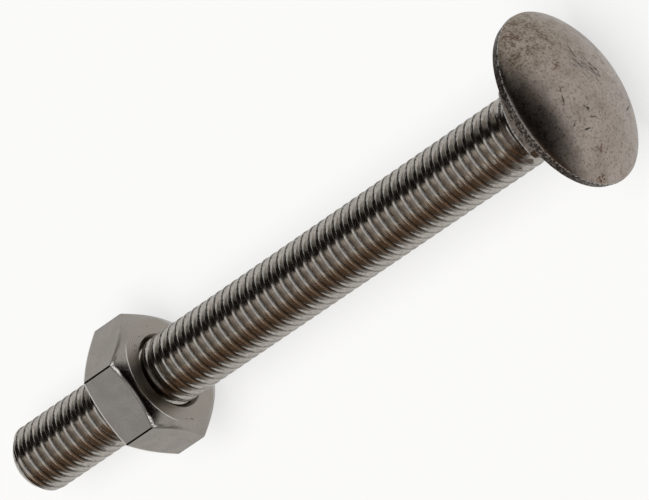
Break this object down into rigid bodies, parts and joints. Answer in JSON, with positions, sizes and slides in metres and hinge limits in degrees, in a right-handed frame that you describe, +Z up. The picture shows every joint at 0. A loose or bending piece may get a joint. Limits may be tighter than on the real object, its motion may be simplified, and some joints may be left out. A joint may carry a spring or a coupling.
{
  "type": "carriage bolt with nut",
  "caption": "Stainless carriage bolt threaded to its square neck, with a low domed head and a hexagon nut run on from the threaded end.",
  "frame": {"origin": "on the surface the bolt lies on, below the middle of its length", "axes": "+X runs from the threaded end towards the head, in plan along the bolt's axis; +Z is up. The bolt rests on the rim of its head and on one flat of the nut, so its own axis rises by 2.68 degrees towards the head"},
  "size_m": [0.1056, 0.0246, 0.0246],
  "materials": {
    "bolt_steel": "stainless steel, cold forged and rolled, slightly stained",
    "nut_steel": "stainless steel, satin flats and turned faces"
  },
  "bodies": {
    "bolt": {"bolt": "bolt_steel"},
    "nut": {"hex_nut": "nut_steel"}
  },
  "joints": [
    {"name": "nut_travel", "type": "slide", "parent": "bolt", "child": "nut", "axis": [0.9989, 0, 0.0468], "range_m": [-0.018, 0.066]}
  ]
}
